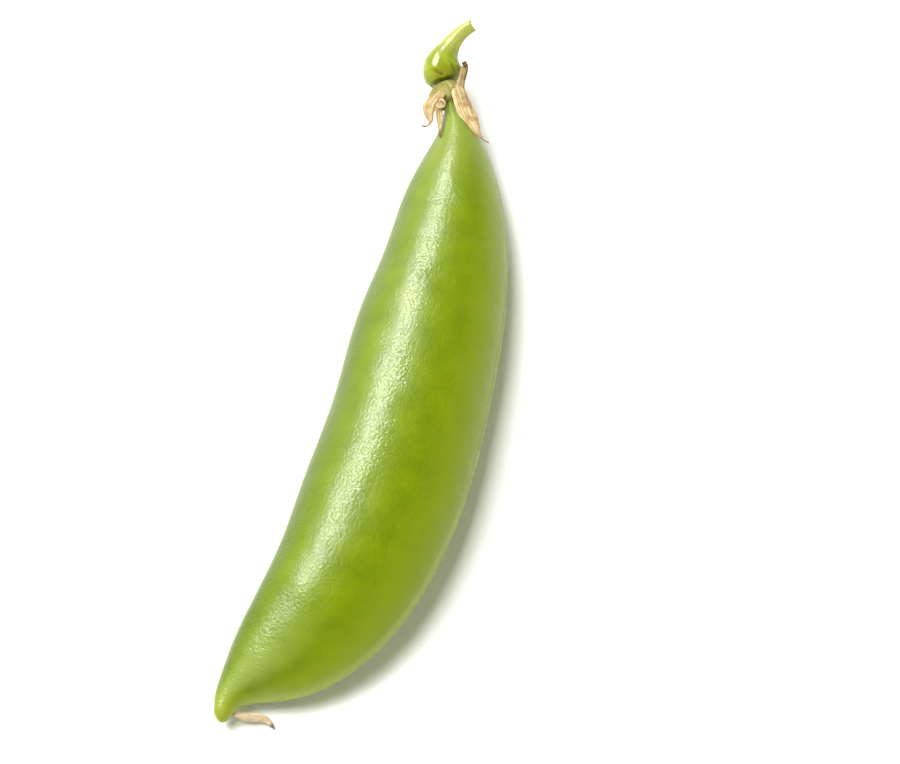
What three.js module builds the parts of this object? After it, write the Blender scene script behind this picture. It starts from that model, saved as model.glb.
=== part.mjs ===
// A sugar snap pea pod as picked, lying on its side on a flat surface.
// Millimetres, +Z up. The beak points to -Y, the stem to +Y and the bulging seam to +X.
// The pod grew as one closed piece. The stem with its swollen head, the calyx cup, the cup's five
// dried lobes, a curl of dried stamens and the dried style are pieces of their own on it.
import * as THREE from "three";

// Driving dimensions
const podLength = 78; // beak to neck, in a straight line
const podDepth = 12.4; // through both walls, at the belly
const bellyLevelled = 0.2; // how much the belly is levelled where it bears on the surface
const stemReach = 9.1; // from the neck to the cut end
const stemWidth = 1.45; // at the cut end
const headWidth = 4.4; // of the swollen head that joins the stem to the calyx
const cupWidth = 3.7; // of the calyx cup, round its mouth
const cupLength = 2.1;
const cupWall = 0.4;
const lobeThickness = 0.3;
const curlWidth = 0.85; // across the curl of dried stamens
const styleThickness = 0.6;

// Stations from the beak to the neck. front and back are x, y of the straight seam and of the bulging
// seam, in hundredths of the length. depth is half the depth and height is how high the seams lie, in
// hundredths of the depth.
const podStations = [
  { front: [-1.3, 0.4], back: [0.0, 0.2], depth: 2.4, height: 18.5 },
  { front: [-2.2, 1.4], back: [0.8, 1.5], depth: 6.5, height: 19 },
  { front: [-2.6, 2.9], back: [1.4, 2.7], depth: 9.5, height: 20 },
  { front: [-2.7, 4.7], back: [3.3, 4.0], depth: 13.5, height: 22 },
  { front: [-2.6, 7.2], back: [7.7, 5.9], depth: 20.5, height: 26 },
  { front: [-2.4, 10.5], back: [12.3, 9.4], depth: 28.5, height: 32 },
  { front: [-1.7, 16.0], back: [16.5, 15.4], depth: 38, height: 38.5 },
  { front: [-0.6, 25.0], back: [19.6, 24.7], depth: 46, height: 44.5 },
  { front: [-0.5, 35.3], back: [20.8, 35.9], depth: 50, height: 48 },
  { front: [-0.4, 47.4], back: [20.3, 47.4], depth: 50, height: 48 },
  { front: [-1.3, 61.5], back: [18.7, 61.5], depth: 48, height: 46 },
  { front: [-1.0, 73.7], back: [16.2, 73.7], depth: 43, height: 42 },
  { front: [-1.2, 82.7], back: [13.2, 82.7], depth: 37, height: 38 },
  { front: [-0.5, 89.5], back: [9.7, 89.7], depth: 30, height: 36 },
  { front: [0.1, 93.6], back: [6.4, 94.3], depth: 22.5, height: 35.5 },
  { front: [0.1, 96.2], back: [3.6, 96.6], depth: 15.5, height: 36 },
  { front: [-0.1, 98.0], back: [1.9, 98.1], depth: 10.5, height: 36.5 },
  { front: [-0.3, 100], back: [0.7, 100], depth: 6.5, height: 37.5 },
];
const seamPinch = 1.12; // 1 is an oval section; above 1 it comes to an edge at each seam

const colour = {
  pod: "#8fae2b",
  stem: "#a9bd3a",
  cup: "#93854a",
  lobe: "#cfa873",
  curl: "#e2d3b4",
  style: "#dcc09c",
};

const point = (x, y, z) => new THREE.Vector3(x, y, z);

// The pod's section at a station: its centre and its two half-axes.
function podSection({ front, back, depth, height }) {
  const frontSeam = point(...front, 0).multiplyScalar(podLength / 100);
  const backSeam = point(...back, 0).multiplyScalar(podLength / 100);
  const level = (podDepth * height) / 100 - bellyLevelled;
  return {
    centre: frontSeam.clone().add(backSeam).multiplyScalar(0.5).setZ(level),
    side: frontSeam.clone().sub(backSeam).multiplyScalar(0.5),
    rise: point(0, 0, (podDepth * depth) / 100),
  };
}

// Sections spaced evenly along smooth curves through the given ones.
function between(sections, steps) {
  const count = (sections.length - 1) * steps;
  const curve = (part) =>
    new THREE.CatmullRomCurve3(sections.map((section) => section[part]), false, "centripetal");
  const [centres, sides, rises] = ["centre", "side", "rise"].map(curve);
  return Array.from({ length: count + 1 }, (_, i) => ({
    centre: centres.getPoint(i / count),
    side: sides.getPoint(i / count),
    rise: rises.getPoint(i / count),
  }));
}

// A closed skin over a row of oval sections, each turned from its side axis to its rise axis.
// The row has to run along side x rise, so that the skin faces out.
function skin(sections, around, pinch = 1) {
  const positions = [];
  const index = [];
  for (const { centre, side, rise } of sections) {
    for (let j = 0; j < around; j++) {
      const turn = (2 * Math.PI * j) / around;
      const up = Math.sin(turn);
      const lift = Math.sign(up) * Math.abs(up) ** pinch;
      const spot = centre.clone().addScaledVector(side, Math.cos(turn)).addScaledVector(rise, lift);
      positions.push(...spot.toArray());
    }
  }
  const startCap = positions.length / 3;
  const endCap = startCap + 1;
  positions.push(...sections[0].centre.toArray(), ...sections.at(-1).centre.toArray());
  const lastRing = (sections.length - 1) * around;
  for (let j = 0; j < around; j++) {
    const next = (j + 1) % around;
    index.push(startCap, next, j, endCap, lastRing + j, lastRing + next);
    for (let ring = 0; ring < lastRing; ring += around) {
      const [a, b] = [ring + j, ring + next];
      index.push(a, b, b + around, a, b + around, a + around);
    }
  }
  const geometry = new THREE.BufferGeometry();
  geometry.setAttribute("position", new THREE.Float32BufferAttribute(positions, 3));
  geometry.setIndex(index);
  geometry.computeVertexNormals();
  return geometry;
}

// The pod, with its belly levelled where it would reach below the surface.
function podGeometry() {
  const geometry = skin(between(podStations.map(podSection), 3), 28, seamPinch);
  const places = geometry.getAttribute("position");
  for (let i = 0; i < places.count; i++) {
    places.setZ(i, Math.max(places.getZ(i), 0));
  }
  geometry.computeVertexNormals();
  return geometry;
}

// Tissue along a path. Each point has its place from the start, and the width there, which lies as
// near as it can to across. Where no thickness is given, the section is round.
function tissue({ start, points, across, thickness }, around = 10) {
  const centres = points.map(([x, y, z]) => start.clone().add(point(x, y, z)));
  const line = new THREE.CatmullRomCurve3(centres, false, "centripetal");
  const sections = points.map(([, , , width], i) => {
    const along = line.getTangent(i / (points.length - 1));
    const side = point(...across).projectOnPlane(along).setLength(width / 2);
    const rise = new THREE.Vector3().crossVectors(along, side).setLength((thickness ?? width) / 2);
    return { centre: centres[i], side, rise };
  });
  return skin(between(sections, 2), around);
}

// The calyx cup: an open wall turned about +Y, widest at its mouth.
function cupGeometry() {
  const mouth = cupWidth / 2;
  const base = mouth * 0.72;
  const wall = [
    [mouth - cupWall, 0],
    [mouth, 0],
    [mouth * 0.97, cupLength * 0.45],
    [base, cupLength],
    [base - cupWall, cupLength],
    [mouth * 0.97 - cupWall, cupLength * 0.45],
    [mouth - cupWall, 0],
  ];
  return new THREE.LatheGeometry(wall.map(([radius, y]) => new THREE.Vector2(radius, y)), 24);
}

const neck = podSection(podStations.at(-1)).centre;
const beak = podSection(podStations[0]).centre;

// The stem leaves the cup as a swollen head, narrows, and bends over to its cut end.
const stem = {
  start: neck,
  across: [1, 0, 0],
  points: [
    [-1.2, 0.19 * stemReach, 0.6, headWidth * 0.72],
    [-1.5, 0.24 * stemReach, 0.7, headWidth * 0.93],
    [-1.85, 0.33 * stemReach, 0.85, headWidth],
    [-2.0, 0.44 * stemReach, 1.1, headWidth * 0.86],
    [-1.9, 0.57 * stemReach, 1.35, headWidth * 0.6],
    [-1.6, 0.7 * stemReach, 1.6, headWidth * 0.46],
    [-1.15, 0.82 * stemReach, 1.8, headWidth * 0.39],
    [-0.55, 0.92 * stemReach, 1.95, headWidth * 0.35],
    [0.1, stemReach, 2.0, stemWidth],
  ],
};

// Each lobe hangs from the cup's mouth towards the pod, except the folded one, which lies back
// along the stem's head.
const lobes = {
  calyx_lobe_front_broad: {
    across: [1, 0.1, 0.35],
    points: [
      [-1.85, -0.75, 1.45, 1.0],
      [-1.9, -1.8, 1.5, 1.8],
      [-1.9, -3.0, 1.15, 1.6],
      [-2.1, -4.5, 0.65, 0.5],
    ],
  },
  calyx_lobe_front_narrow: {
    across: [1, 0.2, 0.3],
    points: [
      [-0.7, -1.1, 2.05, 0.5],
      [-0.5, -2.1, 1.8, 0.75],
      [-0.05, -4.0, 1.85, 0.75],
      [0.7, -6.4, 2.5, 0.35],
    ],
  },
  calyx_lobe_back_long: {
    across: [0.8, 0.6, -0.3],
    points: [
      [1.95, 0.3, 1.5, 1.4],
      [2.35, -0.8, 1.75, 2.1],
      [3.2, -2.4, 1.85, 2.0],
      [4.4, -3.8, 1.7, 1.2],
      [5.2, -4.4, 1.45, 0.4],
    ],
  },
  calyx_lobe_folded: {
    across: [0.7, 0.2, -0.7],
    points: [
      [1.75, 1.3, 1.0, 0.8],
      [1.6, 2.4, 1.2, 0.9],
      [1.3, 3.6, 1.3, 0.9],
      [1.0, 4.4, 1.1, 0.7],
    ],
  },
  calyx_lobe_under: {
    across: [1, 0.3, 0],
    points: [
      [-0.35, -0.8, -1.9, 0.8],
      [0.05, -2.1, -2.35, 1.3],
      [0.65, -3.4, -2.85, 1.2],
      [1.35, -4.6, -3.25, 0.5],
    ],
  },
};

// The dried stamens are a strip rolled into an open ring that stands on the cup's mouth.
function stamenCurl() {
  const turns = [-2.6, -1.6, -0.6, 0.4, 1.4, 2.3];
  const radius = curlWidth / 2;
  const middle = point(-0.2, -2.2, 2.55);
  return {
    start: neck.clone().add(middle),
    across: [0.1, -0.45, 0.9],
    points: turns.map((turn) => {
      const up = Math.sin(turn) * radius;
      return [Math.cos(turn) * radius, 0.9 * up, 0.45 * up, 0.5];
    }),
    thickness: 0.2,
  };
}

// The style leaves the beak sideways, droops to the surface and bends down at its tip.
const style = {
  start: beak,
  across: [0.2, 1, 0.2],
  thickness: styleThickness,
  points: [
    [1.65, 1.35, -0.35, 0.5],
    [2.4, 1.85, -0.7, 0.85],
    [3.4, 2.2, -0.95, 1.0],
    [4.3, 2.3, -1.15, 0.8],
    [5.2, 1.8, -1.45, 0.45],
  ],
};

const root = new THREE.Group();

function add(name, geometry, look, roughness) {
  const material = new THREE.MeshStandardMaterial({ color: look, roughness, metalness: 0 });
  const mesh = new THREE.Mesh(geometry, material);
  mesh.name = name;
  root.add(mesh);
  return mesh;
}

add("pod", podGeometry(), colour.pod, 0.38);
add("stem", tissue(stem, 20), colour.stem, 0.35);

const cup = add("calyx_cup", cupGeometry(), colour.cup, 0.8);
cup.quaternion.setFromUnitVectors(point(0, 1, 0), point(-0.5, 0.85, 0.12).normalize());
cup.position.copy(neck).add(point(0, -0.45, 0));

for (const [name, lobe] of Object.entries(lobes)) {
  add(name, tissue({ start: neck, thickness: lobeThickness, ...lobe }), colour.lobe, 0.8);
}
add("stamen_curl", tissue(stamenCurl()), colour.curl, 0.75);
add("style", tissue(style), colour.style, 0.7);

// The origin is on the surface, under the middle of the whole thing.
const middle = new THREE.Box3().setFromObject(root).getCenter(new THREE.Vector3());
root.position.set(-middle.x, -middle.y, 0);

export default root;
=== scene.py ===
import math

import bpy
import numpy as np
from mathutils import Matrix, Vector


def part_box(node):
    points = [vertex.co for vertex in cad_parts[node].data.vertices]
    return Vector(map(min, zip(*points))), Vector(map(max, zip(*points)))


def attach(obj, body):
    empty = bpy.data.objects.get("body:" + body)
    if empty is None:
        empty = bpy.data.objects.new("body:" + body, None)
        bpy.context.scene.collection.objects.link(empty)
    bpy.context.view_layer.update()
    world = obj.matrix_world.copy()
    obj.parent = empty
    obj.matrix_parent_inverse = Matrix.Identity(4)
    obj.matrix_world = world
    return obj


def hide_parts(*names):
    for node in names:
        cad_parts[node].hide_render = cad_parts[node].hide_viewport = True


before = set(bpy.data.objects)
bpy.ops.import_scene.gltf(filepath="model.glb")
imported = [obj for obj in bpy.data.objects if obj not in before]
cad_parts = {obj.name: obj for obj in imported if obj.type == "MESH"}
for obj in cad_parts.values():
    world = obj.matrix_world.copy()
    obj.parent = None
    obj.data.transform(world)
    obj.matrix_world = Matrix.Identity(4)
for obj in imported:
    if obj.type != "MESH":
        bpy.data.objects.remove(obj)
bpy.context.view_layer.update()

# A closed sugar snap pea pod lying on its side, with its stem, dried calyx and dried style.
# Metres. The beak points to -Y, the stem to +Y and the bulging seam to +X.

mm = 0.001
podLow, podHigh = (np.array(corner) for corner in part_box("pod"))


# a smooth curve through rows of numbers: the natural cubic spline over the knots, read at the given places
def splineThrough(knots, rows, places):
    knots, rows = np.asarray(knots, float), np.asarray(rows, float)
    step = np.diff(knots)
    slope = np.diff(rows, axis=0) / step[:, None]
    system = np.eye(len(knots))
    inner = np.arange(1, len(knots) - 1)
    system[inner, inner - 1] = step[:-1]
    system[inner, inner] = 2 * (step[:-1] + step[1:])
    system[inner, inner + 1] = step[1:]
    wanted = np.zeros_like(rows)
    wanted[1:-1] = 6 * np.diff(slope, axis=0)
    bend = np.linalg.solve(system, wanted)
    piece = np.clip(np.searchsorted(knots, places) - 1, 0, len(step) - 1)
    width = step[piece][:, None]
    left = (places - knots[piece])[:, None]
    right = width - left
    return (
        (bend[piece] * right**3 + bend[piece + 1] * left**3) / (6 * width)
        + (rows[piece] / width - bend[piece] * width / 6) * right
        + (rows[piece + 1] / width - bend[piece + 1] * width / 6) * left
    )


# distance run along a row of points, from 0 at the first
def runAlong(points):
    return np.concatenate([[0], np.cumsum(np.linalg.norm(np.diff(points, axis=0), axis=1))])


def unit(vectors):
    return vectors / np.linalg.norm(vectors, axis=-1, keepdims=True)


# 0 below low, 1 above high, and an even S between them
def fade(value, low, high):
    share = np.clip((value - low) / (high - low), 0, 1)
    return share * share * (3 - 2 * share)


# a bell of height 1 and the given half width
def bell(value, middle, halfWidth):
    return np.exp(-(((value - middle) / halfWidth) ** 2))


# directions square to a grid that is closed the second way, pointing out: across x along
def outwards(grid):
    along = np.gradient(grid, axis=0)
    around = np.roll(grid, -1, axis=1) - np.roll(grid, 1, axis=1)
    return unit(np.cross(around, along) + 1e-15)


# Puts a grid of rings into a mesh, with per-point marks for its material. The rings are closed round, and
# the row of them either has its ends closed on their middles or is a loop.
def makePiece(name, node, slot, material, grid, marks=None, loop=False):
    rings, count, _ = grid.shape
    points = grid.reshape(-1, 3)
    spot, ring = np.meshgrid(np.arange(count), np.arange(rings if loop else rings - 1))
    after = (spot + 1) % count
    nextRing = (ring + 1) % rings
    corners = [ring * count + spot, ring * count + after, nextRing * count + after, nextRing * count + spot]
    faces = np.stack(corners, axis=-1).reshape(-1, 4).tolist()
    if not loop:
        points = np.vstack([points, grid[0].mean(0), grid[-1].mean(0)])
        turn, lastRing = np.arange(count), (rings - 1) * count
        following = (turn + 1) % count
        faces += np.stack([np.full(count, rings * count), following, turn], axis=-1).tolist()
        endCap = [np.full(count, rings * count + 1), lastRing + turn, lastRing + following]
        faces += np.stack(endCap, axis=-1).tolist()
    mesh = bpy.data.meshes.new(name)
    mesh.from_pydata(points.tolist(), [], faces)
    for label, values in (marks or {}).items():
        values = values + np.zeros((rings, count))
        full = values.ravel() if loop else np.append(values.ravel(), [values[0].mean(), values[-1].mean()])
        mesh.attributes.new(label, "FLOAT", "POINT").data.foreach_set("value", full.astype(np.float32))
    mesh.shade_smooth()
    mesh.materials.append(material)
    piece = bpy.data.objects.new(name, mesh)
    bpy.context.scene.collection.objects.link(piece)
    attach(piece, "root")
    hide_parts(node)
    return piece


# an sRGB hex colour as linear red, green, blue, alpha
def linear(hexColour):
    parts = np.array([int(hexColour[i:i + 2], 16) for i in (1, 3, 5)]) / 255
    parts = np.where(parts <= 0.04045, parts / 12.92, ((parts + 0.055) / 1.055) ** 2.4)
    return (*parts.tolist(), 1.0)


# adds a node: inputs are sockets by name or number, each given a value or another node's output, and
# settings are the node's own properties
def addNode(tree, kind, inputs=None, **settings):
    node = tree.nodes.new(kind)
    for name, value in settings.items():
        setattr(node, name, value)
    for name, value in (inputs or {}).items():
        if isinstance(value, bpy.types.NodeSocket):
            tree.links.new(value, node.inputs[name])
        else:
            node.inputs[name].default_value = value
    return node


# a new material with its Principled shader and its object coordinates
def newMaterial(name, **shaderValues):
    material = bpy.data.materials.new(name)
    material.use_nodes = True
    tree = material.node_tree
    shader = tree.nodes["Principled BSDF"]
    for socket, value in shaderValues.items():
        shader.inputs[socket.replace("_", " ")].default_value = value
    place = addNode(tree, "ShaderNodeTexCoord").outputs["Object"]
    return material, tree, shader, place


# Living pod wall: smooth moist tissue under a thin wax bloom, so it is glossy in soft broad patches,
# finely pebbled by its cells, faintly mottled, and light soaks a little way into it.
# Its colour also holds painted light: painted shade darkens the flank by the front seam, and painted reflection
# makes the flank by the back seam and a patch near the beak paler.
def podSkinMaterial():
    look = {
        "deep": "#607400",
        "fresh": "#6f8300",
        "pale": "#7b8c26",
        "neck": "#7d8d31",
        # front: painted shade, the darker colour for the flank by the front seam
        "front": "#4c6000",
        # back: painted reflection, the paler colour for the flank by the back seam
        "back": "#84971c",
        "seam": "#a0aa55",
        # tip: painted reflection, the pale patch on the flank near the beak
        "tip": "#8a9a4e",
        "beak": "#8d962e",
        "mottle": 2.6 * mm,
        "fleck": 0.5 * mm,
        "pebble": 0.3 * mm,
        "pebbleHeight": 0.07 * mm,
        "swell": 2.2 * mm,
        "swellHeight": 0.1 * mm,
    }
    material, tree, shader, place = newMaterial(
        "podSkin", Roughness=0.4, Specular_IOR_Level=0.1, Coat_Weight=0.14, Coat_Roughness=0.17, Coat_IOR=1.5,
        Subsurface_Weight=0.12, Subsurface_Scale=0.8 * mm,
    )
    shader.inputs["Subsurface Radius"].default_value = (0.7, 1.0, 0.15)
    mottle = addNode(tree, "ShaderNodeTexNoise", {"Vector": place, "Scale": 1 / look["mottle"], "Detail": 3.0})
    fleck = addNode(tree, "ShaderNodeTexNoise", {"Vector": place, "Scale": 1 / look["fleck"], "Detail": 4.0})
    mottled = addNode(tree, "ShaderNodeMapRange", {
        "Value": mottle.outputs["Fac"], "From Min": 0.2, "From Max": 0.85}, interpolation_type="SMOOTHSTEP")
    flecked = addNode(tree, "ShaderNodeMapRange", {
        "Value": fleck.outputs["Fac"], "From Min": 0.4, "From Max": 0.75, "To Max": 0.25})
    skin = addNode(tree, "ShaderNodeMix", {
        0: mottled.outputs[0], 6: linear(look["deep"]), 7: linear(look["fresh"])}, data_type="RGBA")
    skin = addNode(tree, "ShaderNodeMix", {
        0: flecked.outputs[0], 6: skin.outputs[2], 7: linear(look["pale"])}, data_type="RGBA")
    fromNeck = addNode(tree, "ShaderNodeAttribute", attribute_name="fromNeck")
    neckShare = addNode(tree, "ShaderNodeMapRange", {
        "Value": fromNeck.outputs["Fac"], "From Min": 3.0, "From Max": 18.0, "To Min": 0.85, "To Max": 0.0},
        interpolation_type="SMOOTHSTEP")
    skin = addNode(tree, "ShaderNodeMix", {
        0: neckShare.outputs[0], 6: skin.outputs[2], 7: linear(look["neck"])}, data_type="RGBA")
    fromFront = addNode(tree, "ShaderNodeAttribute", attribute_name="fromFront")
    # painted reflection: the flank by the back seam is mixed paler
    paintedBackReflection = addNode(tree, "ShaderNodeMapRange", {
        "Value": fromFront.outputs["Fac"], "From Min": -0.35, "From Max": -0.92, "To Max": 0.85},
        interpolation_type="SMOOTHSTEP")
    skin = addNode(tree, "ShaderNodeMix", {
        0: paintedBackReflection.outputs[0], 6: skin.outputs[2], 7: linear(look["back"])}, data_type="RGBA")
    # painted shade: the flank by the front seam is mixed darker
    paintedFrontShade = addNode(tree, "ShaderNodeMapRange", {
        "Value": fromFront.outputs["Fac"], "From Min": 0.55, "From Max": 0.97, "To Max": 0.9},
        interpolation_type="SMOOTHSTEP")
    skin = addNode(tree, "ShaderNodeMix", {
        0: paintedFrontShade.outputs[0], 6: skin.outputs[2], 7: linear(look["front"])}, data_type="RGBA")
    # tip is a painted reflection, a pale patch near the beak; beak and seam are the pod's own colours
    for mark in ("tip", "beak", "seam"):
        share = addNode(tree, "ShaderNodeAttribute", attribute_name=mark)
        skin = addNode(tree, "ShaderNodeMix", {
            0: share.outputs["Fac"], 6: skin.outputs[2], 7: linear(look[mark])}, data_type="RGBA")
    tree.links.new(skin.outputs[2], shader.inputs["Base Color"])
    pebble = addNode(tree, "ShaderNodeTexNoise", {
        "Vector": place, "Scale": 1 / look["pebble"], "Detail": 2.0, "Roughness": 0.6})
    bump = addNode(tree, "ShaderNodeBump", {
        "Strength": 1.0, "Distance": look["pebbleHeight"], "Height": pebble.outputs["Fac"]})
    swell = addNode(tree, "ShaderNodeTexNoise", {"Vector": place, "Scale": 1 / look["swell"], "Detail": 2.0})
    bump = addNode(tree, "ShaderNodeBump", {
        "Strength": 1.0, "Distance": look["swellHeight"], "Height": swell.outputs["Fac"],
        "Normal": bump.outputs[0]})
    tree.links.new(bump.outputs[0], shader.inputs["Normal"])
    tree.links.new(bump.outputs[0], shader.inputs["Coat Normal"])
    return material


# Living stalk: the same moist tissue, yellower, smoother and wetter looking, with faint lines along it, and painted
# shade darkening its fold and slit.
def stemSkinMaterial():
    # crease: painted shade, the dark colour put into the fold and the slit
    look = {"deep": "#768516", "fresh": "#8c962a", "pale": "#a6a957", "cut": "#aea864", "amber": "#a8861a",
            "crease": "#4c4a16", "line": 0.35 * mm}
    material, tree, shader, place = newMaterial(
        "stemSkin", Roughness=0.22, Specular_IOR_Level=0.16, Subsurface_Weight=0.2, Subsurface_Scale=0.6 * mm)
    shader.inputs["Subsurface Radius"].default_value = (0.8, 1.0, 0.2)
    tone = addNode(tree, "ShaderNodeTexNoise", {"Vector": place, "Scale": 1 / (1.6 * mm), "Detail": 3.0})
    tones = addNode(tree, "ShaderNodeMapRange", {
        "Value": tone.outputs["Fac"], "From Min": 0.35, "From Max": 0.65}, interpolation_type="SMOOTHSTEP")
    skin = addNode(tree, "ShaderNodeMix", {
        0: tones.outputs[0], 6: linear(look["deep"]), 7: linear(look["fresh"])}, data_type="RGBA")
    for mark in ("pale", "amber", "crease", "cut"):
        share = addNode(tree, "ShaderNodeAttribute", attribute_name=mark)
        skin = addNode(tree, "ShaderNodeMix", {
            0: share.outputs["Fac"], 6: skin.outputs[2], 7: linear(look[mark])}, data_type="RGBA")
    tree.links.new(skin.outputs[2], shader.inputs["Base Color"])
    lines = addNode(tree, "ShaderNodeTexNoise", {"Vector": place, "Scale": 1 / look["line"], "Detail": 2.0})
    bump = addNode(tree, "ShaderNodeBump", {
        "Strength": 1.0, "Distance": 0.08 * mm, "Height": lines.outputs["Fac"]})
    tree.links.new(bump.outputs[0], shader.inputs["Normal"])
    return material


# Dead dried tissue: papery and matt, tan to cream, with darker veins that run its length.
def driedMaterial(name, light, mid, dark, veins, roughness=0.72):
    material, tree, shader, place = newMaterial(
        name, Roughness=roughness, Specular_IOR_Level=0.08, Subsurface_Weight=0.1, Subsurface_Scale=0.3 * mm)
    across = addNode(tree, "ShaderNodeAttribute", attribute_name="across")
    along = addNode(tree, "ShaderNodeAttribute", attribute_name="along")
    spot = addNode(tree, "ShaderNodeCombineXYZ", {0: across.outputs["Fac"], 1: along.outputs["Fac"]})
    stretched = addNode(tree, "ShaderNodeMapping", {"Vector": spot.outputs[0], "Scale": (veins, 1.1, 1.0)})
    vein = addNode(tree, "ShaderNodeTexNoise", {
        "Vector": stretched.outputs[0], "Scale": 1.0, "Detail": 3.0, "Roughness": 0.65})
    veined = addNode(tree, "ShaderNodeMapRange", {
        "Value": vein.outputs["Fac"], "From Min": 0.4, "From Max": 0.58}, interpolation_type="SMOOTHSTEP")
    patch = addNode(tree, "ShaderNodeTexNoise", {"Vector": place, "Scale": 1 / (0.9 * mm), "Detail": 4.0})
    patched = addNode(tree, "ShaderNodeMapRange", {
        "Value": patch.outputs["Fac"], "From Min": 0.4, "From Max": 0.7}, interpolation_type="SMOOTHSTEP")
    tissue = addNode(tree, "ShaderNodeMix", {
        0: veined.outputs[0], 6: linear(mid), 7: linear(light)}, data_type="RGBA")
    tissue = addNode(tree, "ShaderNodeMix", {
        0: patched.outputs[0], 6: tissue.outputs[2], 7: linear(mid)}, data_type="RGBA")
    tip = addNode(tree, "ShaderNodeAttribute", attribute_name="dark")
    tissue = addNode(tree, "ShaderNodeMix", {
        0: tip.outputs["Fac"], 6: tissue.outputs[2], 7: linear(dark)}, data_type="RGBA")
    tree.links.new(tissue.outputs[2], shader.inputs["Base Color"])
    bump = addNode(tree, "ShaderNodeBump", {
        "Strength": 0.8, "Distance": 0.06 * mm, "Height": vein.outputs["Fac"]})
    tree.links.new(bump.outputs[0], shader.inputs["Normal"])
    return material


pod = {
    "rings": 300,
    "beakRings": 32,           # how many of the rings are spent on the beak's rounded end
    "around": 176,
    "levelled": 0.2 * mm,      # how much the belly is levelled where it bears on the surface
    "pinch": 1.12,             # 1 is an oval section; above 1 it comes to an edge at each seam
    "beakRound": 1.1 * mm,     # how far back from its end the beak starts to round off
    "ribHeight": 0.13 * mm,
    "ribWidth": 0.24 * mm,
    "grooveDepth": 0.05 * mm,
    "peas": 7,
    "peaSwell": 0.17 * mm,
    "peaSize": 3.1 * mm,
    # from the beak to the neck: front seam x, y and back seam x, y in hundredths of the length, then half
    # the depth and the height of the seams in hundredths of the depth
    "stations": [
        (-1.9, 0.3, 0.0, 0.0, 5.0, 18.5),
        (-2.2, 1.4, 0.25, 1.3, 7.5, 19),
        (-2.6, 2.9, 0.9, 2.8, 9.8, 20),
        (-2.7, 4.7, 3.2, 4.15, 13.5, 22),
        (-2.6, 7.2, 7.7, 5.9, 20.5, 26),
        (-2.4, 10.5, 12.3, 9.4, 28.5, 32),
        (-1.7, 16.0, 16.5, 15.4, 38, 38.5),
        (-0.6, 25.0, 19.6, 24.7, 46, 44.5),
        (-0.5, 35.3, 20.8, 35.9, 50, 48),
        (-0.4, 47.4, 20.3, 47.4, 50, 48),
        (-1.3, 61.5, 18.7, 61.5, 48, 46),
        (-1.0, 73.7, 16.2, 73.7, 43, 42),
        (-1.2, 82.7, 13.2, 82.7, 37, 38),
        (-0.5, 89.5, 9.7, 89.7, 30, 36),
        (0.1, 93.6, 6.4, 94.3, 22.5, 35.5),
        (0.1, 96.2, 3.6, 96.6, 15.5, 36),
        (-0.1, 98.0, 1.9, 98.1, 10.5, 36.5),
        (-0.3, 100, 0.7, 100, 6.5, 37.5),
    ],
}


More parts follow.
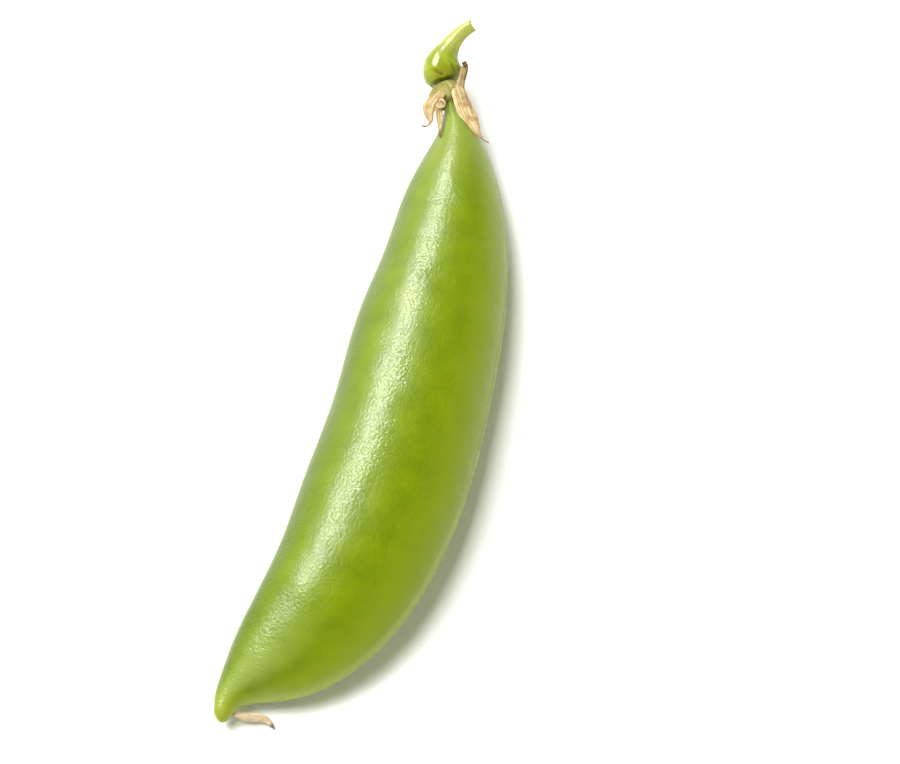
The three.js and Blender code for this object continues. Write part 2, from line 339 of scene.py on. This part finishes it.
# The pod's wall. Along it, both seams, the half depth and the seams' height are splines. Round it, a point
# is the middle between the seams, plus cos(turn) of the half width, plus sin(turn) to a power of the half
# depth. The beak's end rounds off as a quarter circle does. Ribs on the seams, the peas' swellings and slow
# unevenness are then pushed out along its normals.
def podWall():
    table = np.array(pod["stations"], float)
    run = (runAlong(table[:, :2]) + runAlong(table[:, 2:4])) / 2
    beakPlaces = 0.02 * run[-1] * np.linspace(0, 1, pod["beakRings"], endpoint=False) ** 1.6
    places = np.linspace(0.02 * run[-1], run[-1], pod["rings"] - pod["beakRings"])
    places = np.concatenate([beakPlaces, places])      # closer together at the beak
    rows = splineThrough(run, table, places)
    unitSize = (podHigh[1] - podLow[1]) / (100 - 0.2)
    fromBeak = places * unitSize
    blunt = np.sqrt(1 - (1 - np.clip(fromBeak / pod["beakRound"], 0.001, 1)) ** 2)
    turn = np.linspace(0, 2 * math.pi, pod["around"], endpoint=False)
    turn = turn - 0.34 * np.sin(2 * turn)      # closer together near the seams
    side, up = np.cos(turn), np.sin(turn)
    lift = np.sign(up) * np.abs(up) ** pod["pinch"]
    front, back = rows[:, None, 0:2], rows[:, None, 2:4]
    flat = (front + back) / 2 + (front - back) / 2 * side[None, :, None] * blunt[:, None, None]
    height = rows[:, 5, None] + rows[:, 4, None] * lift * blunt[:, None]
    low, high = flat.reshape(-1, 2).min(0), flat.reshape(-1, 2).max(0)
    flat = podLow[:2] + (flat - low) / (high - low) * (podHigh - podLow)[:2]
    height = height / height.max() * (podHigh[2] + pod["levelled"]) - pod["levelled"]
    grid = np.concatenate([flat, height[:, :, None]], axis=2)

    middle = height.mean(1, keepdims=True)
    seamDistance = np.abs(height - middle)
    ends = fade(fromBeak, 1.5 * mm, 6 * mm) * fade(fromBeak[-1] - fromBeak, 2 * mm, 8 * mm)
    rib = pod["ribHeight"] * bell(seamDistance, 0, pod["ribWidth"])
    groove = pod["grooveDepth"] * bell(seamDistance, 2.6 * pod["ribWidth"], 1.3 * pod["ribWidth"])
    peaPlaces = np.linspace(0.2, 0.84, pod["peas"]) * fromBeak[-1]
    lumps = sum(bell(fromBeak, spot, pod["peaSize"]) for spot in peaPlaces)
    swell = pod["peaSwell"] * lumps[:, None] * np.abs(up)[None, :] ** 2 * bell(side, -0.05, 0.75)[None, :]
    x, y = grid[:, :, 0] / mm, grid[:, :, 1] / mm
    uneven = 0.05 * np.sin(0.37 * y + 0.5 * x) + 0.035 * np.sin(0.71 * y - 0.4 * x + 1.3)
    uneven += 0.02 * np.sin(1.35 * y + 0.9 * x + 0.4)
    push = (rib - groove) * ends[:, None] + swell + uneven * mm * ends[:, None] * np.abs(up)[None, :]
    grid = grid + outwards(grid) * push[:, :, None]
    grid[:, :, 2] = np.maximum(grid[:, :, 2], 0)
    nearBeak = 1 - fade(fromBeak, 20 * mm, 45 * mm)[:, None]
    nearTip = 1 - fade(fromBeak, 5 * mm, 17 * mm)
    seamWidth = (0.5 + 0.9 * nearBeak * (side < 0)) * mm
    seamWidth = np.minimum(seamWidth, 0.15 * mm + 0.6 * seamDistance.max(1, keepdims=True))
    marks = {
        "seam": 0.8 * (1 - fade(seamDistance, 0.1 * mm, seamWidth)),
        # tip: painted reflection, a pale patch on one flank near the beak
        "tip": 0.65 * nearTip[:, None] * fade(side, -0.6, 0.2) * (1 - 0.85 * fade(side, 0.35, 0.8)),
        "beak": 0.85 * (1 - fade(fromBeak, 0.5 * mm, 4.5 * mm))[:, None],
        "fromNeck": (fromBeak[-1] - fromBeak)[:, None] / mm,
        "fromFront": side[None, :],
    }
    return grid, marks


podGrid, podMarks = podWall()
neck, beak = podGrid[-1].mean(0), podGrid[0].mean(0)
makePiece("pod_wall", "pod", "pod_skin", podSkinMaterial(), podGrid, podMarks)
print("pod made")


# The stem, the lobes, the curl and the style are all rings along a path. Each point gives x, y, z from the
# start and the width there, in millimetres. The path is a spline, the side axis lies as near as it can to
# across, and the rise axis is along x side.
def ringsAlong(start, points, across, rings):
    table = np.array(points, float) * mm
    run = runAlong(table[:, :3])
    places = np.linspace(0, run[-1], rings)
    rows = splineThrough(run, table, places)
    along = unit(np.gradient(rows[:, :3], axis=0))
    across = np.array(across, float)
    side = unit(across - (along @ across)[:, None] * along)
    rise = np.cross(along, side)
    return {"centre": start + rows[:, :3], "along": along, "side": side, "rise": rise,
            "width": rows[:, 3], "run": places}


# A round strand: the middle, plus cos(turn) and sin(turn) of the radius along the side and rise axes,
# and a shift along the path.
def roundStrand(rings, radius, turn, shift=None):
    grid = rings["centre"][:, None, :]
    grid = grid + rings["side"][:, None, :] * (radius * np.cos(turn))[:, :, None]
    grid = grid + rings["rise"][:, None, :] * (radius * np.sin(turn))[:, :, None]
    if shift is not None:
        grid = grid + rings["along"][:, None, :] * shift[:, :, None]
    return grid


stem = {
    "rings": 110,
    "around": 72,
    "reach": 9.1,              # the rest are in millimetres
    "head": 4.4,
    "cut": 1.45,
    "creaseDepth": 0.3,
    "slitDepth": 0.18,
}


# The stem: a round strand whose width swells to the head, with a fold that crosses the head's lower left,
# a short slit on its right, faint ribs along it, and an end that is cut ragged and dries hollow.
# The fold and the slit are also painted dark, as painted shade in them.
def stemSurface():
    reach, head = stem["reach"], stem["head"]
    points = [
        (-1.2, 0.19 * reach, 0.6, head * 0.72),
        (-1.5, 0.24 * reach, 0.7, head * 0.93),
        (-1.85, 0.33 * reach, 0.85, head),
        (-2.0, 0.44 * reach, 1.1, head * 0.86),
        (-1.9, 0.57 * reach, 1.35, head * 0.6),
        (-1.6, 0.7 * reach, 1.6, head * 0.46),
        (-1.15, 0.82 * reach, 1.8, head * 0.39),
        (-0.55, 0.92 * reach, 1.95, head * 0.35),
        (0.1, reach, 2.0, stem["cut"]),
    ]
    rings = ringsAlong(neck, points, (1, 0, 0), stem["rings"])
    share = (rings["run"] / rings["run"][-1])[:, None]
    turn = np.linspace(0, 2 * math.pi, stem["around"], endpoint=False)[None, :] + 0 * share
    radius = rings["width"][:, None] / 2 + 0 * turn
    # angle round from the fold's middle, which climbs from the underside to the top of the head
    fold = bell(turn - math.radians(256) + 6 * (share - 0.05), 0, 0.1) * fade(share, 0.0, 0.02)
    fold = fold * (1 - fade(share, 0.06, 0.12))
    slit = bell(turn + 1.2 * (share - 0.13), math.radians(306), 0.09) * bell(share, 0.13, 0.09)
    radius = radius - stem["creaseDepth"] * mm * fold - stem["slitDepth"] * mm * slit
    radius = radius + 0.035 * mm * np.cos(5 * turn + 2 * share) * fade(share, 0.3, 0.6)
    radius = radius + 0.06 * mm * np.sin(3 * turn + 9 * share) * (1 - fade(share, 0.3, 0.5))
    cutEnd = fade(share, 0.975, 0.985)
    ragged = 0.16 * np.sin(2 * turn + 0.6) + 0.1 * np.sin(5 * turn + 1.1) + 0.05 * np.sin(11 * turn)
    shift = (ragged * fade(share, 0.9, 0.975) - 0.25) * mm * fade(share, 0.9, 0.975)
    closing = 1 - 0.97 * np.clip((share - 0.975) / 0.025, 0, 1)
    hollow = -0.3 * mm * np.clip((share - 0.975) / 0.025, 0, 1)
    grid = roundStrand(rings, radius * closing, turn, shift * (1 - cutEnd * 0.5) + hollow)
    pale = 0.85 * fade(share, 0.3, 0.6) + 0 * turn
    amber = 0.28 * bell(share, 0.04, 0.07) * bell(turn, math.radians(275), 0.5)
    # painted shade: the fold and the slit are marked dark
    crease = np.clip(0.8 * fold + 1.1 * slit, 0, 1) * 0.8
    return grid, {"pale": pale, "amber": amber, "crease": crease, "cut": cutEnd + 0 * turn}


stemGrid, stemMarks = stemSurface()
makePiece("stem_stalk", "stem", "stem_skin", stemSkinMaterial(), stemGrid, stemMarks)
print("stem made")

cup = {
    "width": 3.7,
    "length": 2.1,
    "wall": 0.4,
    "rings": 72,
    "around": 96,
    "axis": (-0.65, 0.75, 0.12),
    "setBack": (0.1, -0.4, 0),
    "lip": 0.95,
}


# The cup's wall, carried round its axis as a closed loop: out of the mouth, up the outside, over the
# base's edge and back down the inside. Fibres ridge the outside, and the mouth is torn.
def cupSurface():
    mouth, length, wall = cup["width"] / 2, cup["length"], cup["wall"]
    base = mouth * 0.84
    lip = cup["lip"]
    profile = np.array([
        (lip, -0.15), (lip + wall * 0.8, -0.05), (mouth * 0.92, length * 0.22), (mouth, length * 0.5),
        (base, length - 0.1), (base - wall / 2, length), (base - wall, length - 0.1),
        (mouth - wall, length * 0.5), (mouth * 0.92 - wall, length * 0.25), (lip - wall * 0.1, 0.1), (lip, -0.15),
    ])
    run = runAlong(profile)
    rows = splineThrough(run, profile, np.linspace(0, run[-1], cup["rings"], endpoint=False))
    turn = np.linspace(0, 2 * math.pi, cup["around"], endpoint=False)
    radius, level = rows[:, 0][:, None], rows[:, 1][:, None]
    outer = fade(radius - (mouth * 0.97 - wall / 2), -0.1, 0.1)
    fibres = 0.05 * np.sin(17 * turn + 3 * level) + 0.04 * np.sin(29 * turn + 1.2)
    torn = 0.16 * np.sin(4 * turn + 0.5) + 0.1 * np.sin(9 * turn)
    radius = radius + fibres * outer
    level = level + torn * (1 - fade(level, 0, length * 0.5))
    axis = unit(np.array(cup["axis"], float))
    side = unit(np.cross(axis, (0, 0, 1)))
    rise = np.cross(axis, side)
    start = neck + np.array(cup["setBack"], float) * mm
    circle = np.cos(turn)[:, None] * side + np.sin(turn)[:, None] * rise
    grid = start + (radius[:, :, None] * circle + level[:, :, None] * axis) * mm
    dark = 0.5 * fade(level, 0.7, 1.8)
    return grid, {"across": 4 * turn / math.pi + 0 * level, "along": level / length, "dark": dark}


cupGrid, cupMarks = cupSurface()
cupFibre = driedMaterial("driedCalyxFibre", "#b5a96c", "#8a8440", "#625f24", 9.0)
makePiece("calyx_cup_wall", "calyx_cup", "calyx_cup_skin", cupFibre, cupGrid, cupMarks, loop=True)
print("calyx cup made")


# A thin strip: the middle, plus cos(turn) of the half width along the side axis, plus sin(turn) of the half
# thickness along the rise axis. Curl lifts both edges by cos(turn) squared, pleats ripple the strip across
# its width, ruffle waves its edges along its length, and roll turns the strip about its own path.
def thinStrip(rings, look):
    share = (rings["run"] / rings["run"][-1])[:, None]
    turn = np.linspace(0, 2 * math.pi, look["around"], endpoint=False)[None, :]
    across, up = np.cos(turn), np.sin(turn)
    half = rings["width"][:, None] / 2
    torn = 1 + look["torn"] * (np.sin(23 * share + 2 * across) + 0.6 * np.sin(41 * share - 3 * across))
    wide = half * across * torn
    curl = half * look["curl"] * across**2
    pleats = 0.045 * mm * np.sin(look["pleats"] * across + 1.5 * share + look["roll"])
    ruffle = look["ruffle"] * mm * across * np.sin(9 * share + look["roll"])
    thin = look["thickness"] * mm / 2 * up * (1 - 0.5 * share)
    high = thin + curl + (pleats + ruffle) * fade(share, 0, 0.15)
    angle = look["twist"] * share**2
    wide, high = wide * np.cos(angle) - high * np.sin(angle), wide * np.sin(angle) + high * np.cos(angle)
    grid = rings["centre"][:, None, :] + rings["side"][:, None, :] * wide[:, :, None]
    grid = grid + rings["rise"][:, None, :] * high[:, :, None]
    dark = np.clip(look["dark"] + look["tip"] * fade(share, 0.72, 0.98) + 0 * across, 0, 1)
    return grid, {"across": across + look["roll"], "along": share * look["length"], "dark": dark}


plainLobe = {
    "rings": 90, "around": 44, "thickness": 0.2, "curl": 0.25, "pleats": 9.0, "ruffle": 0.1, "torn": 0.03,
    "twist": 0.0, "dark": 0.0, "tip": 0.8, "roll": 0.0, "length": 1.0,
}
lobes = {
    "calyx_lobe_front_broad": {
        "across": (1, 0.1, 0.35), "curl": -0.3, "roll": 0.4,
        "points": [
            (-0.95, -0.35, 1.5, 1.5), (-1.5, -1.25, 1.75, 1.7), (-1.75, -2.4, 1.6, 1.6),
            (-1.45, -3.4, 1.3, 1.15), (-1.1, -4.15, 0.95, 0.5), (-1.4, -4.7, 0.85, 0.2), (-1.85, -4.75, 0.85, 0.12),
        ],
    },
    "calyx_lobe_front_narrow": {
        "across": (1, 0.2, 0.3), "curl": 0.5, "roll": 1.7,
        "points": [
            (-0.65, -0.9, 1.95, 0.7), (-0.45, -2.5, 2.05, 0.75), (0.05, -4.2, 2.1, 0.75),
            (0.5, -5.6, 2.35, 0.4), (0.85, -6.8, 2.65, 0.15),
        ],
    },
    "calyx_lobe_back_long": {
        "across": (0.8, 0.6, -0.3), "curl": -0.3, "roll": 2.9, "length": 1.6, "twist": 0.7,
        "points": [
            (0.5, 0.95, 1.5, 1.5), (0.95, 0.3, 1.75, 1.85), (1.55, -0.7, 1.8, 2.0), (2.35, -1.85, 1.85, 2.05),
            (3.15, -2.95, 1.85, 1.75), (3.9, -3.9, 1.8, 1.25), (4.7, -4.7, 1.65, 0.5), (5.35, -5.1, 1.6, 0.2),
            (5.95, -5.2, 1.5, 0.14),
        ],
    },
    "calyx_lobe_folded": {
        "across": (0.7, 0.2, -0.7), "curl": 0.5, "roll": 4.2, "dark": 0.3, "tip": 0.5,
        "points": [
            (1.1, 0.0, 1.3, 1.2), (1.0, 1.05, 1.4, 1.25), (0.88, 2.0, 1.5, 1.1), (0.84, 2.8, 1.65, 0.95),
            (0.77, 3.45, 1.75, 0.9), (0.6, 3.75, 1.95, 0.75), (0.3, 3.5, 2.15, 0.4),
        ],
    },
    "calyx_lobe_under": {
        "across": (1, 0.3, 0), "roll": 5.5,
        "points": [
            (-0.35, -0.8, -1.9, 0.8), (0.05, -2.1, -2.35, 1.3), (0.65, -3.4, -2.85, 1.2),
            (1.35, -4.6, -3.25, 0.5),
        ],
    },
}
lobePaper = driedMaterial("driedSepalPaper", "#cbbb90", "#987c4a", "#6b4a28", 8.5)
for node, own in lobes.items():
    look = {**plainLobe, **own}
    rings = ringsAlong(neck, look["points"], look["across"], look["rings"])
    makePiece(node + "_dried", node, "dried_lobe", lobePaper, *thinStrip(rings, look))
print("calyx lobes made")


curl = {
    **plainLobe, "around": 32, "curl": 0.0, "thickness": 0.2, "torn": 0.06, "ruffle": 0.02, "tip": 0.3,
    "roll": 0.9, "width": 0.4, "across": 0.86, "middle": (-0.3, -2.55, 2.65),
}


# The dried stamens: a strip whose path is an open ring about an axis that leans back from the pod.
def stamenCurl():
    turns = np.linspace(-2.6, 2.3, 12)
    radius = curl["across"] / 2
    up = np.sin(turns) * radius
    path = np.stack([np.cos(turns) * radius, 0.9 * up, 0.45 * up, np.full(12, curl["width"])], axis=1)
    path[:, :3] += curl["middle"]
    return ringsAlong(neck, path, (0.1, -0.45, 0.9), curl["rings"])


curlPaper = driedMaterial("driedStamenSheath", "#d8ceb2", "#b39e74", "#7a5c3c", 2.0)
makePiece("stamen_curl_dried", "stamen_curl", "dried_stamen", curlPaper, *thinStrip(stamenCurl(), curl))
print("stamen curl made")

style = {
    "rings": 80, "around": 40, "thickness": 0.6,
    "points": [
        (0.95, 1.3, -0.3, 0.35), (1.9, 1.55, -0.6, 0.75), (2.75, 1.85, -0.9, 0.98), (3.7, 2.15, -1.1, 0.85),
        (4.6, 2.0, -1.35, 0.55), (5.15, 1.55, -1.5, 0.3),
    ],
}


# The style: an oval strand, flatter than it is wide, shrunk into long folds, that closes over at its tip.
def styleSurface():
    rings = ringsAlong(beak, style["points"], (0.2, 1, 0.2), style["rings"])
    share = (rings["run"] / rings["run"][-1])[:, None]
    turn = np.linspace(0, 2 * math.pi, style["around"], endpoint=False)[None, :]
    ends = np.sqrt(np.clip(1 - fade(share, 0.93, 1.0) * 0.95, 0, 1)) * (0.5 + 0.5 * fade(share, 0, 0.06))
    half = rings["width"][:, None] / 2 * ends
    flatness = np.minimum(style["thickness"] * mm / 2 / half.max(), 1)
    folds = 1 + 0.05 * np.cos(5 * turn + 4 * share) + 0.02 * np.sin(8 * turn - 3 * share)
    wide, high = half * folds * np.cos(turn), half * folds * np.sin(turn) * flatness
    grid = rings["centre"][:, None, :] + rings["side"][:, None, :] * wide[:, :, None]
    grid = grid + rings["rise"][:, None, :] * high[:, :, None]
    dark = fade(share, 0.84, 0.97) + 0 * turn
    return grid, {"across": 2 * turn / math.pi, "along": share * 1.4, "dark": dark}


stylePaper = driedMaterial("driedStyle", "#d3c5ab", "#bda784", "#5a3a4a", 1.6, roughness=0.6)
makePiece("style_dried", "style", "dried_style", stylePaper, *styleSurface())
print("style made")


def makeFloor():
    material, tree, shader, place = newMaterial(
        "backlitWhiteAcrylic", Roughness=0.9, Specular_IOR_Level=0.1, Emission_Strength=0.09)
    shader.inputs["Base Color"].default_value = linear("#fafafa")
    # The floor glows evenly, and its glow is tinted yellow-green as painted bounce light from the green pod, which
    # shows only in the pod's shadow.
    shader.inputs["Emission Color"].default_value = linear("#fbfbd0")
    mesh = bpy.data.meshes.new("floor")
    reach = 3.0
    corners = [(-reach, -reach, 0), (reach, -reach, 0), (reach, reach, 0), (-reach, reach, 0)]
    mesh.from_pydata(corners, [], [(0, 1, 2, 3)])
    mesh.materials.append(material)
    floor = bpy.data.objects.new("floor", mesh)
    bpy.context.scene.collection.objects.link(floor)


makeFloor()


# an axis system whose Z points along direction and whose Y lies as near as it can to lengthways
def facing(direction, lengthways):
    back = Vector(direction).normalized()
    up = Vector(lengthways)
    up = (up - up.dot(back) * back).normalized()
    right = up.cross(back)
    return Matrix((right, up, back)).transposed().to_4x4()


lamps = {
    # direction from the pod, distance, width, length along the pod, power in watts, what it lights
    "streakBox": ((-0.6, 0.36, 0.69), 0.46, 0.06, 0.56, 14.5, "gloss"),
    "keyBox": ((-0.58, 0.36, 0.7), 0.46, 0.2, 0.50, 1.9, "diffuse"),
    "overBox": ((-0.33, -0.07, 0.93), 0.7, 0.45, 0.45, 7.6, "diffuse"),
    "sideBox": ((0.95, -0.3, 0.3), 0.7, 0.8, 0.8, 2.4, "diffuse"),
}


def makeLamp(name, direction, distance, width, length, power, seenIn):
    light = bpy.data.lights.new(name, "AREA")
    light.shape = "RECTANGLE"
    light.size, light.size_y = width, length
    light.energy = power
    lamp = bpy.data.objects.new(name, light)
    place = Matrix.Translation(Vector(direction).normalized() * distance)
    lamp.matrix_world = place @ facing(direction, (0, 1, 0))
    lamp.visible_diffuse = seenIn != "gloss"
    lamp.visible_glossy = seenIn != "diffuse"
    bpy.context.scene.collection.objects.link(lamp)


for name, settings in lamps.items():
    makeLamp(name, *settings)

world = bpy.data.worlds.new("paleStudio")
world.use_nodes = True
tree = world.node_tree
direction = addNode(tree, "ShaderNodeTexCoord").outputs["Generated"]
height = addNode(tree, "ShaderNodeSeparateXYZ", {0: direction}).outputs["Z"]
glow = addNode(tree, "ShaderNodeMapRange", {
    "Value": height, "From Min": 0.0, "From Max": 0.8, "To Min": 1.1, "To Max": 0.3},
    interpolation_type="SMOOTHSTEP")
tree.links.new(glow.outputs[0], tree.nodes["Background"].inputs["Strength"])
bpy.context.scene.world = world
bpy.context.scene.view_settings.view_transform = "Standard"

view = {"turn": 16.77, "above": 60.0, "distance": 0.401, "lens": 150.0, "aim": (0.647, 0.589)}


# the camera looks down at the pod from its beak's side, from a little to the right
def makeCamera():
    turn, above = math.radians(view["turn"]), math.radians(view["above"])
    back = Vector((math.sin(turn) * math.cos(above), -math.cos(turn) * math.cos(above), math.sin(above)))
    aim = Vector((*(podLow[:2] + (podHigh - podLow)[:2] * view["aim"]), 0))
    lens = bpy.data.cameras.new("camera")
    lens.lens, lens.clip_start = view["lens"], 0.01
    camera = bpy.data.objects.new("camera", lens)
    camera.location = aim + back * view["distance"]
    camera.rotation_euler = (-back).to_track_quat("-Z", "Y").to_euler()
    bpy.context.scene.collection.objects.link(camera)
    bpy.context.scene.camera = camera


makeCamera()
print("stage, lamps and camera made")
